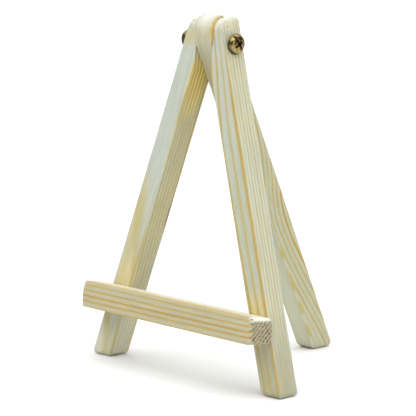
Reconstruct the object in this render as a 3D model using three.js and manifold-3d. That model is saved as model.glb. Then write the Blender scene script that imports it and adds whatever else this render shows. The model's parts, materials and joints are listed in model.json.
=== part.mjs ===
// Table-top display easel: three pine strips hinged on one machine screw, with a ledge across the front pair.
// Units are millimetres. +X is the viewer's right, +Y runs to the rear leg, +Z is up, and the feet stand on
// z = 0.

import * as THREE from 'three';
import { mergeVertices } from 'three/addons/utils/BufferGeometryUtils.js';
import Module from 'manifold-3d';

const wasm = await Module();
wasm.setup();

const degrees = Math.PI / 180;

// Stance. The front pair leans back and spreads; the rear leg slopes the other way. All meet at the pivot.
const PIVOT_HEIGHT = 133.9;
const LEAN = 5.07 * degrees;
const SPREAD = 18.04 * degrees;
const REAR_SLOPE = 23.98 * degrees;

// Strip sections: width across the object, depth from front to back, and the eased long edges.
const FRONT_WIDTH = 10;
const FRONT_DEPTH = 10.2;
const FRONT_OFFSET = 6.14; // centre line of a front leg to the middle plane, at pivot height
const REAR_WIDTH = 9.3;
const REAR_DEPTH = 10.75;
const EDGE_RADIUS = 0.7;
const FOOT_EASE = 0.55;

// Tops of the legs, above the pivot.
const FRONT_TOP = 9.8;
const FRONT_TOP_RADIUS = 4.75;
const REAR_TOP = 10.7;
const REAR_TOP_RADIUS = 5.5;
const KNUCKLE_FRONT = 5.85; // flat front of the rear leg's knuckle, forward of the pivot
const KNUCKLE_GAP = 0.2; // each side of the rear leg, to the mitred front legs

// Ledge. Its section is measured square to the front legs, and its top slopes down towards them.
const LEDGE_BOTTOM = 20.9; // above the floor, measured along the front legs
const LEDGE_FRONT_HEIGHT = 11.2;
const LEDGE_BACK_HEIGHT = 9.75;
const LEDGE_DEPTH = 11.6;
const LEDGE_LEFT = -50.9; // front corner of the left end
const LEDGE_SKEW = 4; // the left end is sawn askew, and its back corner stands this much further out
const LEDGE_RIGHT = 48.6;
const LEDGE_EDGE = 0.45;
const CONTACT_GAP = 0.25; // ledge to legs, nails to wood, metal to wood

// M4 pan head screw with a combined slot and cross recess, and its hexagon nut.
const SCREW_RADIUS = 2;
const SCREW_HOLE_RADIUS = 2.25;
const HEAD_RADIUS = 4.1;
const HEAD_HEIGHT = 2.6;
const HEAD_RIM = 1.3;
const HEAD_SEAT = 12.45; // underside of the head, right of the middle plane
const HEAD_UNDERCUT = 0.2;
const SCREW_END = -15.6;
const SCREW_TIP_CHAMFER = 0.6;
const SLOT_WIDTH = 1.2;
const CROSS_WIDTH = 1.15;
const CROSS_SPAN = 4.4;
const RECESS_DEPTH = 1.35;
const RECESS_TURN = 32 * degrees;
const NUT_SEAT = -12;
const NUT_THICKNESS = 3.2;
const NUT_ACROSS_FLATS = 7;
const NUT_BORE_RADIUS = 2.25;
const NUT_CHAMFER = 0.5;

// Round nails, set into the backs of the front legs.
const NAIL_RADIUS = 0.6;
const NAIL_LENGTH = 17;
const NAIL_HEAD_RADIUS = 1.1;
const NAIL_HEAD_HEIGHT = 0.5;
const NAIL_NECK = 0.3;
const NAIL_POINT = 1.2;
const NAIL_SET = 0.3; // head below the leg's back face

const ROUND_SEGMENTS = 32;
const NAIL_SEGMENTS = 16;
const TOP_SEGMENTS = 10;
const BEVEL_SEGMENTS = 3;
const CORNER_STEPS = 4;
const DOME_STEPS = 8;
const WELD = 1e-4; // corners closer than this are one
const FAR = 60; // reach of a cutting block past the part it cuts

// Where things are, worked out from the stance.
const tanLean = Math.tan(LEAN);
const spreadPerHeight = Math.tan(SPREAD) / Math.cos(LEAN);
const frontFaceAtPivot = FRONT_DEPTH / 2 / Math.cos(LEAN);
const rearFaceAtPivot = REAR_DEPTH / 2 / Math.cos(REAR_SLOPE);
const ledgeOutward = FRONT_DEPTH / 2 + CONTACT_GAP + LEDGE_DEPTH;
const ledgeBelowPivot = PIVOT_HEIGHT / Math.cos(LEAN) - LEDGE_BOTTOM;
const ledgeFrontY = ledgeOutward * Math.cos(LEAN) + ledgeBelowPivot * Math.sin(LEAN);
const rearFootY = PIVOT_HEIGHT * Math.tan(REAR_SLOPE) + rearFaceAtPivot;
const PIVOT_Y = (ledgeFrontY - rearFootY) / 2; // puts the origin under the middle of the object

const woodPale = new THREE.MeshStandardMaterial({ color: 0xe0d3ac, roughness: 0.62, metalness: 0 });
const woodWarm = new THREE.MeshStandardMaterial({ color: 0xdcc896, roughness: 0.62, metalness: 0 });
const yellowZinc = new THREE.MeshStandardMaterial({ color: 0xb09a52, roughness: 0.32, metalness: 1 });
const bareSteel = new THREE.MeshStandardMaterial({ color: 0x9a9b9d, roughness: 0.4, metalness: 1 });

// ---- solids: closed geometry in, cut or joined, and back to geometry ----

function toSolid(geometry) {
  const bare = geometry.index ? geometry.toNonIndexed() : geometry.clone();
  for (const name of Object.keys(bare.attributes)) {
    if (name !== 'position') bare.deleteAttribute(name);
  }
  const merged = mergeVertices(bare, WELD);
  const corners = merged.index.array;
  const triangles = [];
  for (let i = 0; i < corners.length; i += 3) {
    const [a, b, c] = corners.subarray(i, i + 3);
    if (a !== b && b !== c && c !== a) triangles.push(a, b, c);
  }
  return new wasm.Manifold(new wasm.Mesh({
    numProp: 3,
    vertProperties: new Float32Array(merged.attributes.position.array),
    triVerts: new Uint32Array(triangles),
  }));
}

function toGeometry(solid) {
  const mesh = solid.getMesh();
  const geometry = new THREE.BufferGeometry();
  geometry.setAttribute('position', new THREE.BufferAttribute(new Float32Array(mesh.vertProperties), 3));
  geometry.setIndex(new THREE.BufferAttribute(new Uint32Array(mesh.triVerts), 1));
  const flat = geometry.toNonIndexed();
  flat.computeVertexNormals();
  return flat;
}

function cut(geometry, removals) {
  return removals.reduce((solid, removal) => solid.subtract(toSolid(removal)), toSolid(geometry));
}

function named(name, geometry, material) {
  const mesh = new THREE.Mesh(geometry, material);
  mesh.name = name;
  return mesh;
}

// ---- outlines ----

// A closed outline through the corner points, with each corner rounded to the radius.
function roundedOutline(corners, radius) {
  const points = [];
  corners.forEach((corner, i) => {
    const before = corners[(i + corners.length - 1) % corners.length].clone().sub(corner).normalize();
    const after = corners[(i + 1) % corners.length].clone().sub(corner).normalize();
    const halfAngle = Math.acos(before.dot(after)) / 2;
    const reach = radius / Math.tan(halfAngle);
    const curve = new THREE.QuadraticBezierCurve(
      corner.clone().addScaledVector(before, reach),
      corner.clone(),
      corner.clone().addScaledVector(after, reach),
    );
    points.push(...curve.getPoints(CORNER_STEPS));
  });
  return new THREE.Shape(points);
}

// A block that fills everything below a leg's top, whose front upper corner is rounded.
function topTrim(frontY, topZ, radius) {
  const profile = new THREE.Shape();
  profile.moveTo(-FAR, -FAR);
  profile.lineTo(2 * FAR, -FAR);
  profile.lineTo(2 * FAR, topZ);
  profile.lineTo(frontY + radius, topZ);
  profile.absarc(frontY + radius, topZ - radius, radius, Math.PI / 2, Math.PI, false);
  profile.lineTo(-FAR, topZ - radius);
  const block = new THREE.ExtrudeGeometry(profile, {
    depth: 4 * FAR,
    bevelEnabled: false,
    curveSegments: TOP_SEGMENTS,
  });
  return acrossX(block, 2 * FAR);
}

// Stands an extrusion of a (y, z) outline up, so that it runs along X, centred on the middle plane.
function acrossX(geometry, halfLength) {
  const basis = new THREE.Matrix4().makeBasis(
    new THREE.Vector3(0, 1, 0), new THREE.Vector3(0, 0, 1), new THREE.Vector3(1, 0, 0),
  );
  return geometry.applyMatrix4(basis).translate(-halfLength, 0, 0);
}

// A round rod along X between two places on the pivot's axis.
function pivotRod(radius, fromX, toX) {
  const rod = new THREE.CylinderGeometry(radius, radius, Math.abs(toX - fromX), ROUND_SEGMENTS);
  return rod.rotateZ(Math.PI / 2).translate((fromX + toX) / 2, PIVOT_Y, PIVOT_HEIGHT);
}

// A leg whose outline lies flat on the floor and which runs up at a slope: slopeX and slopeY per unit of
// height.
function slopingLeg(outline, slopeX, slopeY, height) {
  const leg = new THREE.ExtrudeGeometry(outline, {
    depth: height,
    bevelEnabled: true,
    bevelThickness: FOOT_EASE,
    bevelSize: FOOT_EASE,
    bevelOffset: -FOOT_EASE,
    bevelSegments: BEVEL_SEGMENTS,
  });
  leg.translate(0, 0, FOOT_EASE - PIVOT_HEIGHT);
  const shear = new THREE.Matrix4().set(
    1, 0, slopeX, 0,
    0, 1, slopeY, PIVOT_Y,
    0, 0, 1, PIVOT_HEIGHT,
    0, 0, 0, 1,
  );
  return leg.applyMatrix4(shear);
}

// ---- places on the front frame, in its own leaning plane ----

// Turns (across, up the legs, out from the legs' middle) into a place on the object.
function onFrontPlane(x, up, out) {
  const fromPivot = up - PIVOT_HEIGHT / Math.cos(LEAN);
  return new THREE.Vector3(
    x,
    PIVOT_Y + fromPivot * Math.sin(LEAN) - out * Math.cos(LEAN),
    PIVOT_HEIGHT + fromPivot * Math.cos(LEAN) + out * Math.sin(LEAN),
  );
}

const nailUp = LEDGE_BOTTOM + LEDGE_BACK_HEIGHT / 2;
const nailAcross = FRONT_OFFSET + (PIVOT_HEIGHT / Math.cos(LEAN) - nailUp) * Math.tan(SPREAD);
const nailHeadTop = -(FRONT_DEPTH / 2) + NAIL_SET; // out from the legs' middle, so negative is behind

// A turned profile of (radius, distance) points, standing outwards from the back of a front leg.
function alongNail(side, profile) {
  const turned = new THREE.LatheGeometry(profile, NAIL_SEGMENTS);
  const outward = new THREE.Vector3(0, -Math.cos(LEAN), Math.sin(LEAN));
  turned.applyQuaternion(new THREE.Quaternion().setFromUnitVectors(new THREE.Vector3(0, 1, 0), outward));
  const start = onFrontPlane(side * nailAcross, nailUp, nailHeadTop);
  return turned.translate(start.x, start.y, start.z);
}

// Half the outline of a nail, grown on all sides for its hole, which starts a little way behind the head.
function nailProfile(grow, behind) {
  return [
    new THREE.Vector2(0, -behind),
    new THREE.Vector2(NAIL_HEAD_RADIUS + grow, -behind),
    new THREE.Vector2(NAIL_HEAD_RADIUS + grow, NAIL_HEAD_HEIGHT + grow),
    new THREE.Vector2(NAIL_RADIUS + grow, NAIL_HEAD_HEIGHT + 2 * grow + NAIL_NECK),
    new THREE.Vector2(NAIL_RADIUS + grow, NAIL_LENGTH - NAIL_POINT),
    new THREE.Vector2(0, NAIL_LENGTH + grow),
  ];
}

function nail(side) {
  return toGeometry(toSolid(alongNail(side, nailProfile(0, 0))));
}

function nailHole(side) {
  return alongNail(side, nailProfile(CONTACT_GAP, 2 * NAIL_HEAD_RADIUS));
}

// ---- wooden pieces ----

// Front leg: foot cut level, inner face mitred upright beside the knuckle, drilled for the screw and a nail.
function frontLeg(side) {
  const halfAcross = FRONT_WIDTH / 2 / Math.cos(SPREAD);
  const skew = FRONT_DEPTH / 2 * Math.tan(LEAN) * Math.tan(SPREAD);
  const outline = roundedOutline([
    new THREE.Vector2(-halfAcross + side * skew, -frontFaceAtPivot),
    new THREE.Vector2(halfAcross + side * skew, -frontFaceAtPivot),
    new THREE.Vector2(halfAcross - side * skew, frontFaceAtPivot),
    new THREE.Vector2(-halfAcross - side * skew, frontFaceAtPivot),
  ], EDGE_RADIUS);
  const leg = slopingLeg(outline, -side * spreadPerHeight, tanLean, PIVOT_HEIGHT + FRONT_TOP + FRONT_WIDTH);
  leg.translate(side * FRONT_OFFSET, 0, 0);

  const mitreX = REAR_WIDTH / 2 + KNUCKLE_GAP;
  const mitre = new THREE.BoxGeometry(2 * FAR, 2 * FAR, 2 * FAR);
  mitre.translate(side * (mitreX - FAR), PIVOT_Y, PIVOT_HEIGHT);
  const seat = side > 0
    ? pivotRod(HEAD_RADIUS + CONTACT_GAP, HEAD_SEAT - CONTACT_GAP, FAR)
    : pivotRod(NUT_ACROSS_FLATS / Math.sqrt(3) + CONTACT_GAP, NUT_SEAT + CONTACT_GAP, -FAR);
  const shaped = cut(leg, [mitre, pivotRod(SCREW_HOLE_RADIUS, -FAR, FAR), seat, nailHole(side)]);
  const frontY = PIVOT_Y - frontFaceAtPivot + (FRONT_TOP - FRONT_TOP_RADIUS) * tanLean;
  return toGeometry(shaped.intersect(toSolid(topTrim(frontY, PIVOT_HEIGHT + FRONT_TOP, FRONT_TOP_RADIUS))));
}

// Rear leg: slopes back, its knuckle flattened in front of the pivot and rounded over the top.
function rearLeg() {
  const outline = roundedOutline([
    new THREE.Vector2(-REAR_WIDTH / 2, -rearFaceAtPivot),
    new THREE.Vector2(REAR_WIDTH / 2, -rearFaceAtPivot),
    new THREE.Vector2(REAR_WIDTH / 2, rearFaceAtPivot),
    new THREE.Vector2(-REAR_WIDTH / 2, rearFaceAtPivot),
  ], EDGE_RADIUS);
  const leg = slopingLeg(outline, 0, -Math.tan(REAR_SLOPE), PIVOT_HEIGHT + REAR_TOP + REAR_DEPTH);
  const flat = new THREE.BoxGeometry(2 * FAR, 2 * FAR, 2 * FAR);
  flat.translate(0, PIVOT_Y - KNUCKLE_FRONT - FAR, PIVOT_HEIGHT + FAR - REAR_DEPTH);
  const shaped = cut(leg, [flat, pivotRod(SCREW_HOLE_RADIUS, -FAR, FAR)]);
  const trim = topTrim(PIVOT_Y - KNUCKLE_FRONT, PIVOT_HEIGHT + REAR_TOP, REAR_TOP_RADIUS);
  return toGeometry(shaped.intersect(toSolid(trim)));
}

// Moves the corners of the bar's near end outwards, the more the further they are from the front.
function skewLeftEnd(bar, front) {
  const corners = bar.attributes.position;
  const middle = (LEDGE_RIGHT - LEDGE_LEFT) / 2;
  for (let i = 0; i < corners.count; i += 1) {
    if (corners.getZ(i) < middle) {
      const share = (corners.getX(i) - front) / LEDGE_DEPTH;
      corners.setZ(i, corners.getZ(i) - share * LEDGE_SKEW);
    }
  }
}

// Ledge: a bar across both front legs with eased ends. Its top falls towards the legs, so a canvas stays on.
function ledge() {
  const back = -(FRONT_DEPTH / 2 + CONTACT_GAP);
  const front = back - LEDGE_DEPTH;
  const outline = roundedOutline([
    new THREE.Vector2(front, LEDGE_BOTTOM),
    new THREE.Vector2(back, LEDGE_BOTTOM),
    new THREE.Vector2(back, LEDGE_BOTTOM + LEDGE_BACK_HEIGHT),
    new THREE.Vector2(front, LEDGE_BOTTOM + LEDGE_FRONT_HEIGHT),
  ], EDGE_RADIUS);
  const bar = new THREE.ExtrudeGeometry(outline, {
    depth: LEDGE_RIGHT - LEDGE_LEFT - 2 * LEDGE_EDGE,
    bevelEnabled: true,
    bevelThickness: LEDGE_EDGE,
    bevelSize: LEDGE_EDGE,
    bevelOffset: -LEDGE_EDGE,
    bevelSegments: BEVEL_SEGMENTS,
  });
  skewLeftEnd(bar, front);
  const backward = new THREE.Vector3(0, Math.cos(LEAN), -Math.sin(LEAN));
  const upward = new THREE.Vector3(0, Math.sin(LEAN), Math.cos(LEAN));
  const along = new THREE.Vector3(1, 0, 0);
  const place = new THREE.Matrix4().makeBasis(backward, upward, along);
  bar.applyMatrix4(place.setPosition(onFrontPlane(LEDGE_LEFT + LEDGE_EDGE, 0, 0)));
  return toGeometry(cut(bar, [nailHole(-1), nailHole(1)]));
}

// ---- metal pieces ----

// A turned profile of (radius, distance along X) points, on the pivot's axis.
function onPivotAxis(profile) {
  const turned = new THREE.LatheGeometry(profile, ROUND_SEGMENTS);
  return turned.rotateZ(-Math.PI / 2).translate(0, PIVOT_Y, PIVOT_HEIGHT);
}

// A straight groove across the head, seen along the screw and turned about it.
function recessGroove(width, span, turn) {
  const groove = new THREE.BoxGeometry(2 * RECESS_DEPTH, width, span);
  return groove.rotateX(turn).translate(HEAD_SEAT + HEAD_HEIGHT, PIVOT_Y, PIVOT_HEIGHT);
}

function pivotScrew() {
  const crown = HEAD_SEAT + HEAD_HEIGHT;
  const rim = HEAD_SEAT + HEAD_RIM;
  const dome = new THREE.CubicBezierCurve(
    new THREE.Vector2(HEAD_RADIUS, rim),
    new THREE.Vector2(HEAD_RADIUS, (rim + crown) / 2),
    new THREE.Vector2(HEAD_RADIUS * 0.6, crown),
    new THREE.Vector2(0, crown),
  );
  const screw = onPivotAxis([
    new THREE.Vector2(0, SCREW_END),
    new THREE.Vector2(SCREW_RADIUS - SCREW_TIP_CHAMFER, SCREW_END),
    new THREE.Vector2(SCREW_RADIUS, SCREW_END + SCREW_TIP_CHAMFER),
    new THREE.Vector2(SCREW_RADIUS, HEAD_SEAT),
    new THREE.Vector2(HEAD_RADIUS - HEAD_UNDERCUT, HEAD_SEAT),
    new THREE.Vector2(HEAD_RADIUS, HEAD_SEAT + HEAD_UNDERCUT),
    ...dome.getPoints(DOME_STEPS),
  ]);
  return toGeometry(cut(screw, [
    recessGroove(SLOT_WIDTH, 3 * HEAD_RADIUS, RECESS_TURN),
    recessGroove(CROSS_WIDTH, CROSS_SPAN, RECESS_TURN + Math.PI / 2),
  ]));
}

// Nut: hexagon with a flat to the front, corners chamfered on both faces.
function hexNut() {
  const cornerRadius = NUT_ACROSS_FLATS / Math.sqrt(3);
  const faceRadius = NUT_ACROSS_FLATS / 2;
  const outer = NUT_SEAT - NUT_THICKNESS;
  const hexagon = new THREE.CylinderGeometry(cornerRadius, cornerRadius, NUT_THICKNESS, 6);
  hexagon.rotateZ(Math.PI / 2).translate((NUT_SEAT + outer) / 2, PIVOT_Y, PIVOT_HEIGHT);
  const turned = onPivotAxis([
    new THREE.Vector2(0, outer),
    new THREE.Vector2(faceRadius, outer),
    new THREE.Vector2(cornerRadius, outer + NUT_CHAMFER),
    new THREE.Vector2(cornerRadius, NUT_SEAT - NUT_CHAMFER),
    new THREE.Vector2(faceRadius, NUT_SEAT),
    new THREE.Vector2(0, NUT_SEAT),
  ]);
  const solid = toSolid(hexagon).intersect(toSolid(turned));
  return toGeometry(solid.subtract(toSolid(pivotRod(NUT_BORE_RADIUS, -FAR, FAR))));
}

const easel = new THREE.Group();
easel.add(
  named('left_front_leg', frontLeg(-1), woodPale),
  named('right_front_leg', frontLeg(1), woodPale),
  named('rear_leg', rearLeg(), woodPale),
  named('ledge_bar', ledge(), woodWarm),
  named('pivot_screw', pivotScrew(), yellowZinc),
  named('hex_nut', hexNut(), yellowZinc),
  named('left_nail', nail(-1), bareSteel),
  named('right_nail', nail(1), bareSteel),
);

export default easel;
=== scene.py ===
"""Looks of the table-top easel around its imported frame: pine strips, a screw with its nut, and nails.

Wooden and metal pieces are fields of distance in millimetres, negative inside, turned into meshes on a graded
grid. Every strip has its own axes: L along the strip, P across it and Q out of its display side.
"""

import json
import math

import bpy
import numpy as np
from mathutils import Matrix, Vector

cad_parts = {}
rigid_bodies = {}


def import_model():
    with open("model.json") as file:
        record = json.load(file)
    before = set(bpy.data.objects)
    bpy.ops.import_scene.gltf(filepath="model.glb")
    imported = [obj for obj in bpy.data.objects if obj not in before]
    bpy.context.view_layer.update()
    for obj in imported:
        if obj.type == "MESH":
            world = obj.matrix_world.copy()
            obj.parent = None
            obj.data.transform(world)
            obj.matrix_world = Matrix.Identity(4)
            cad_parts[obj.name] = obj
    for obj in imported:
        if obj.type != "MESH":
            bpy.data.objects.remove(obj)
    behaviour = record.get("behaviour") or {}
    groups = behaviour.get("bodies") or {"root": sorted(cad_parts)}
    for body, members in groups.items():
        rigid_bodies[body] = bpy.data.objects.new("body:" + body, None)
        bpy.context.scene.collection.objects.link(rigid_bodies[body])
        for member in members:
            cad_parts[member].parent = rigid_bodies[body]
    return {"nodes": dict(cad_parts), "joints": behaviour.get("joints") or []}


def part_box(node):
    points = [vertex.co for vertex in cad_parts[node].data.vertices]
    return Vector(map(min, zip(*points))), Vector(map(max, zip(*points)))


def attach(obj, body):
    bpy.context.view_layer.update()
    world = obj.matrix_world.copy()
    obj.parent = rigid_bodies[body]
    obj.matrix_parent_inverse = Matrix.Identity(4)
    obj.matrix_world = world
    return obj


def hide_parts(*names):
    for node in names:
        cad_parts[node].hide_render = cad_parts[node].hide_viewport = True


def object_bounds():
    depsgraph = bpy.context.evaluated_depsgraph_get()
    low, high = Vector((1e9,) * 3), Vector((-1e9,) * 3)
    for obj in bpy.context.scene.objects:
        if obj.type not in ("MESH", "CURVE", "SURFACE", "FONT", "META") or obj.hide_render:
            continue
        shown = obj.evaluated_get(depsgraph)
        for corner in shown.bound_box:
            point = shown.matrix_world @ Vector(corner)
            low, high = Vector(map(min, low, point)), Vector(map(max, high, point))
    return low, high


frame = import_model()
cad_low, cad_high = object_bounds()

MM = 0.001
hinge = frame["joints"][0]
FIXED_BODY = hinge["parent"]
SWINGING_BODY = hinge["child"]
PIVOT_Y = hinge["pos_m"][1] / MM
PIVOT_HEIGHT = hinge["pos_m"][2] / MM

# The stance and the strips, as in the CAD model.
LEAN = math.radians(5.07)
SPREAD = math.radians(18.04)
REAR_SLOPE = math.radians(23.98)
FRONT_WIDTH = 10.0
FRONT_DEPTH = 10.2
FRONT_OFFSET = 6.14
FRONT_TOP = 9.8
FRONT_TOP_RADIUS = 4.75
REAR_WIDTH = 9.3
REAR_DEPTH = 10.75
REAR_TOP = 10.7
REAR_TOP_RADIUS = 5.5
KNUCKLE_FRONT = 5.85
LEDGE_BOTTOM = 20.9
LEDGE_FRONT_HEIGHT = 11.2
LEDGE_BACK_HEIGHT = 9.75
LEDGE_TOP = LEDGE_BOTTOM + LEDGE_FRONT_HEIGHT
LEDGE_LEFT = -50.9
LEDGE_SKEW = 4.0
LEDGE_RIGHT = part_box("ledge_bar")[1].x / MM

# Contact is closer than in the CAD model, whose solids keep a wider gap.
CAD_GAP = 0.25
CONTACT = 0.03
MITRE = REAR_WIDTH / 2 + CONTACT
LEDGE_BACK = FRONT_DEPTH / 2 + CONTACT

# The ledge's front stays 0.03 mm behind the CAD model's, so that the looks stay inside its box.
LEDGE_DEPTH = 11.57
LEDGE_FRONT = FRONT_DEPTH / 2 + CAD_GAP + LEDGE_DEPTH

# Screw and nut.
SCREW_RADIUS = 2.0
SCREW_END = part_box("pivot_screw")[0].x / MM
THREAD_PITCH = 0.7
THREAD_DEPTH = 0.42
HEAD_RADIUS = 4.1
HEAD_SEAT = 12.45
HEAD_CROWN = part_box("pivot_screw")[1].x / MM
HEAD_DOME_RADIUS = 12.0
SLOT_TURN = math.radians(32)
NUT_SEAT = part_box("hex_nut")[1].x / MM
NUT_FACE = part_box("hex_nut")[0].x / MM
NUT_ACROSS_FLATS = 7.0

# Holes and seats in the wood, each with a slightly crushed rim.
SCREW_HOLE_RADIUS = SCREW_RADIUS + 0.12
SCREW_HOLE_RIM = 0.2
HEAD_SEAT_RADIUS = HEAD_RADIUS + 0.08
NUT_SEAT_RADIUS = NUT_ACROSS_FLATS / math.sqrt(3) + 0.15
SEAT_RIM = 0.12
NAIL_HOLE_RADIUS = 1.2
NAIL_HOLE_DEPTH = 0.55
NAIL_HOLE_RIM = 0.15

# Wear: the radius of the long edges, around each foot, and of the rear foot's heel. The feet just clear the
# floor.
LONG_EDGE = 0.3
FOOT_EDGES = {"left_front_leg": 1.9, "right_front_leg": 2.3, "rear_leg": 2.0}
HEEL_RADIUS = 3.4
FLOOR_GAP = 0.02

# The pivot and the nails, up the leaning plane of the front legs from the floor.
PIVOT_UP = PIVOT_HEIGHT / math.cos(LEAN)
NAIL_UP = LEDGE_BOTTOM + LEDGE_BACK_HEIGHT / 2

# Places down a leg, measured from the pivot.
FRONT_FOOT_AT = PIVOT_UP / math.cos(SPREAD)
NAIL_AT = (PIVOT_UP - NAIL_UP) / math.cos(SPREAD)
REAR_FOOT_AT = PIVOT_HEIGHT / math.cos(REAR_SLOPE)


# ---- numbers over space ----


def lattice(ix, iy, iz, seed):
    """A fixed random number from -1 to 1 for each whole point: large odd numbers scramble its bits."""
    word = 0xFFFFFFFF
    half_word = 0xFFFF
    mixed = (ix * 374761393 + iy * 668265263 + iz * 1103515245 + seed * 974634777) & word
    mixed = ((mixed ^ (mixed >> 13)) * 1274126177) & word
    return ((mixed ^ (mixed >> 16)) & half_word) / (half_word / 2) - 1.0


def noise(x, y, z, seed):
    """Smooth noise from -1 to 1, one lump to a unit."""
    x, y, z = np.broadcast_arrays(x, y, z)
    ix, iy, iz = (np.floor(c).astype(np.int64) for c in (x, y, z))
    fx, fy, fz = x - ix, y - iy, z - iz
    fx, fy, fz = (f * f * (3 - 2 * f) for f in (fx, fy, fz))
    total = 0.0
    for dx in (0, 1):
        for dy in (0, 1):
            for dz in (0, 1):
                share = (fx if dx else 1 - fx) * (fy if dy else 1 - fy) * (fz if dz else 1 - fz)
                total = total + share * lattice(ix + dx, iy + dy, iz + dz, seed)
    return total


def fade(value, start, end):
    """0 up to start, 1 from end on, and in proportion between them."""
    return np.clip((value - start) / (end - start), 0, 1)


def rounded(a, b, radius):
    """Inside both a and b, with the edge between them rounded."""
    corner = np.hypot(np.maximum(a + radius, 0), np.maximum(b + radius, 0))
    return np.minimum(-radius, np.maximum(a, b)) + corner


def blended(a, b, width):
    """Inside both a and b, with the shallow bend between them softened over the width."""
    near = np.maximum(width - np.abs(a - b), 0) / width
    return np.maximum(a, b) + near * near * width / 4


def without(a, hole, radius):
    """Inside a and outside hole, with a rounded rim."""
    return rounded(a, -hole, radius)


def graded(*stretches):
    """Grid lines from (start, step) pairs and a last end, with fine steps where a shape turns."""
    lines = []
    for (start, step), following in zip(stretches[:-1], stretches[1:]):
        end = following[0] if isinstance(following, tuple) else following
        lines.append(np.linspace(start, end, max(2, round((end - start) / step) + 1))[:-1])
    return np.concatenate(lines + [[stretches[-1]]])


# ---- from a field to a mesh ----


def surface(field, axes):
    """Vertices and four-sided faces of the surface where the field is zero, on the three axes' grid lines."""
    values = field(*np.meshgrid(*axes, indexing="ij"))
    cells = np.array(values.shape) - 1
    owners, points, quads = [], [], []
    for axis in range(3):
        low = values.take(range(values.shape[axis] - 1), axis)
        high = values.take(range(1, values.shape[axis]), axis)
        edges = np.argwhere((low < 0) != (high < 0))
        at = tuple(edges.T)
        share = low[at] / (low[at] - high[at])
        place = np.stack([axes[k][edges[:, k]] for k in range(3)], 1)
        step = axes[axis][edges[:, axis] + 1] - axes[axis][edges[:, axis]]
        place[:, axis] += share * step
        across, up = (axis + 1) % 3, (axis + 2) % 3
        ring = []
        for back_across, back_up in ((0, 0), (1, 0), (1, 1), (0, 1)):
            cell = edges.copy()
            cell[:, across] -= back_across
            cell[:, up] -= back_up
            ring.append(np.ravel_multi_index(tuple(cell.T), cells))
            owners.append(ring[-1])
            points.append(place)
        ring = np.stack(ring, 1)
        outward = low[at] < 0
        quads.append(np.where(outward[:, None], ring, ring[:, ::-1]))
    ids, where = np.unique(np.concatenate(owners), return_inverse=True)
    points = np.concatenate(points)
    count = np.bincount(where)
    vertices = np.stack([np.bincount(where, points[:, k]) / count for k in range(3)], 1)
    faces = np.searchsorted(ids, np.concatenate(quads))
    return settle(field, vertices), faces


def slope_of(field, vertices, reach=0.03):
    """The field's slope at each vertex, from values within reach on both sides of it."""
    parts = []
    for axis in range(3):
        step = np.zeros(3)
        step[axis] = reach
        parts.append(field(*(vertices + step).T) - field(*(vertices - step).T))
    return np.stack(parts, 1) / (2 * reach)


def settle(field, vertices, least_slope=0.5, longest_step=0.12):
    """Moves the vertices onto the surface, by two small steps down the field's slope."""
    for _ in range(2):
        slope = slope_of(field, vertices)
        squared = np.maximum((slope**2).sum(1), least_slope**2)
        step = np.clip(field(*vertices.T) / squared, -longest_step, longest_step)
        vertices = vertices - slope * step[:, None]
    return vertices


def mesh_object(name, vertices, faces):
    """A smooth mesh object from millimetres in the frame."""
    mesh = bpy.data.meshes.new(name)
    mesh.from_pydata((vertices * MM).tolist(), [], faces.tolist())
    mesh.validate()
    mesh.polygons.foreach_set("use_smooth", [True] * len(mesh.polygons))
    piece = bpy.data.objects.new(name, mesh)
    bpy.context.scene.collection.objects.link(piece)
    return piece


def store(piece, name, values, kind="FLOAT"):
    """Keeps a value for each vertex as an attribute, for the material to read."""
    attribute = piece.data.attributes.new(name, kind, "POINT")
    attribute.data.foreach_set("vector" if kind == "FLOAT_VECTOR" else "value", np.ravel(values))


def stand_for(piece, node, body, material):
    """Puts a piece in a CAD node's place, on its body and with its finish."""
    piece.data.materials.append(material)
    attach(piece, body)
    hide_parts(node)


class Axes:
    """A piece's own axes in the frame, with their origin, all in millimetres."""

    def __init__(self, origin, along, across, out):
        self.origin = np.array(origin, float)
        self.turn = np.array([along, across, out], float)

    def place(self, length, across, out):
        """Own axes to frame."""
        return tuple(
            self.origin[k] + length * self.turn[0][k] + across * self.turn[1][k] + out * self.turn[2][k]
            for k in range(3)
        )


def wooden(name, field, axes, lines, body, material):
    """Makes a strip that stands for the CAD node of its name.

    The material reads three attributes: the strip's own axes, its end grain, where the surface looks along L,
    and its eased edges, where it looks along none of the axes.
    """
    vertices, faces = surface(field, lines)
    slope = slope_of(field, vertices, 0.06)
    normal = np.abs(slope) / np.maximum(np.linalg.norm(slope, axis=1), 1e-9)[:, None]
    if np.linalg.det(axes.turn) < 0:
        faces = faces[:, ::-1]
    piece = mesh_object(name, np.stack(axes.place(*vertices.T), 1), faces)
    store(piece, "grain", vertices, "FLOAT_VECTOR")
    store(piece, "end_grain", fade(normal[:, 0], 0.7, 0.92))
    store(piece, "edge", fade(normal.max(1), 0.94, 0.74))
    stand_for(piece, name, body, material)


# ---- strips ----

ACROSS = np.array([1.0, 0, 0])
DOWN_PLANE = np.array([0, -math.sin(LEAN), -math.cos(LEAN)])
FRONT_OUT = np.array([0, -math.cos(LEAN), math.sin(LEAN)])
DOWN_REAR = np.array([0, math.sin(REAR_SLOPE), -math.cos(REAR_SLOPE)])
REAR_OUT = np.array([0, -math.cos(REAR_SLOPE), -math.sin(REAR_SLOPE)])
PIVOT = np.array([0, PIVOT_Y, PIVOT_HEIGHT])

# The step between grid lines at a leg's two ends.
END_STEP = 0.32


def from_pivot_axis(y, z):
    """How far a point is from the screw's middle line."""
    return np.hypot(y - PIVOT_Y, z - PIVOT_HEIGHT)


def worn(radius, length, seed):
    """An eased edge whose radius wanders along the strip, and is tight at the joint, where strips touch."""
    tight = np.clip(0.4 + length / 25, 0.4, 1)
    return radius * tight * (1 + 0.3 * noise(length / 9, seed, 0.5, seed))


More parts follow.
